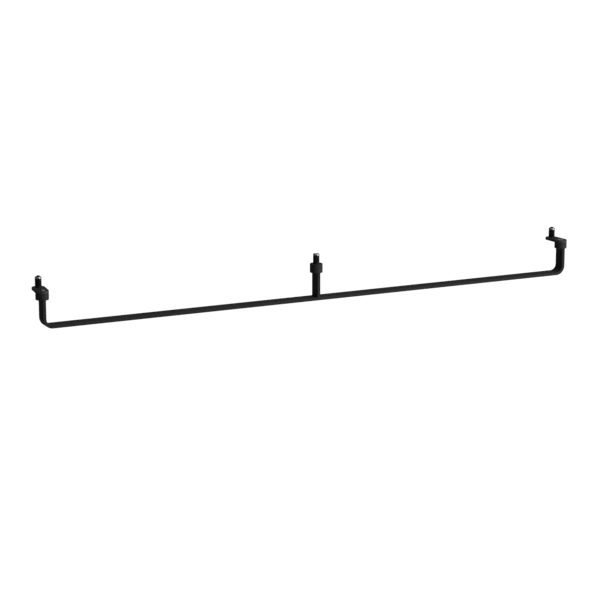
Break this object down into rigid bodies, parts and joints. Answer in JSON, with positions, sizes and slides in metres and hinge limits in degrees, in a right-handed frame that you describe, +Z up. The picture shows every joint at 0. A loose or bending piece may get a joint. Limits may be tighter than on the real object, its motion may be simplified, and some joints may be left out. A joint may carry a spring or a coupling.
{
  "type": "towel rail",
  "caption": "Long flat-bar towel rail with upturned ends, hung under a basin or worktop by expanding plugs; the end plugs stand on short arms that swivel to find their holes.",
  "frame": {"origin": "on the middle plug's axis, in the plane where the seats meet the underside of the basin", "axes": "+X along the rail to the right as seen from the front, +Y back towards the wall, +Z up into the basin along the plugs"},
  "size_m": [0.915, 0.0439, 0.0741],
  "materials": {
    "black_paint": "matt black powder coat with a fine even grain",
    "black_rubber": "smooth black rubber",
    "dark_steel": "black oxide steel",
    "bare_steel": "bright turned steel"
  },
  "bodies": {
    "rail": {"rail_bar": "black_paint", "middle_post": "black_paint", "left_block": "black_paint", "middle_block": "black_paint", "right_block": "black_paint", "left_pivot_screw": "bare_steel", "right_pivot_screw": "bare_steel", "middle_stud": "bare_steel", "middle_washer": "dark_steel", "middle_sleeve": "black_rubber", "middle_nut": "bare_steel"},
    "left_swivel": {"left_arm": "black_paint", "left_plug_screw": "dark_steel", "left_washer": "dark_steel", "left_sleeve": "black_rubber", "left_nut": "bare_steel"},
    "right_swivel": {"right_arm": "black_paint", "right_plug_screw": "dark_steel", "right_washer": "dark_steel", "right_sleeve": "black_rubber", "right_nut": "bare_steel"}
  },
  "joints": [
    {"name": "left_arm_swivel", "type": "hinge", "parent": "rail", "child": "left_swivel", "pos_m": [-0.4475, 0, 0], "axis": [0, 0, 1], "continuous": true},
    {"name": "right_arm_swivel", "type": "hinge", "parent": "rail", "child": "right_swivel", "pos_m": [0.4475, 0, 0], "axis": [0, 0, 1], "continuous": true}
  ]
}
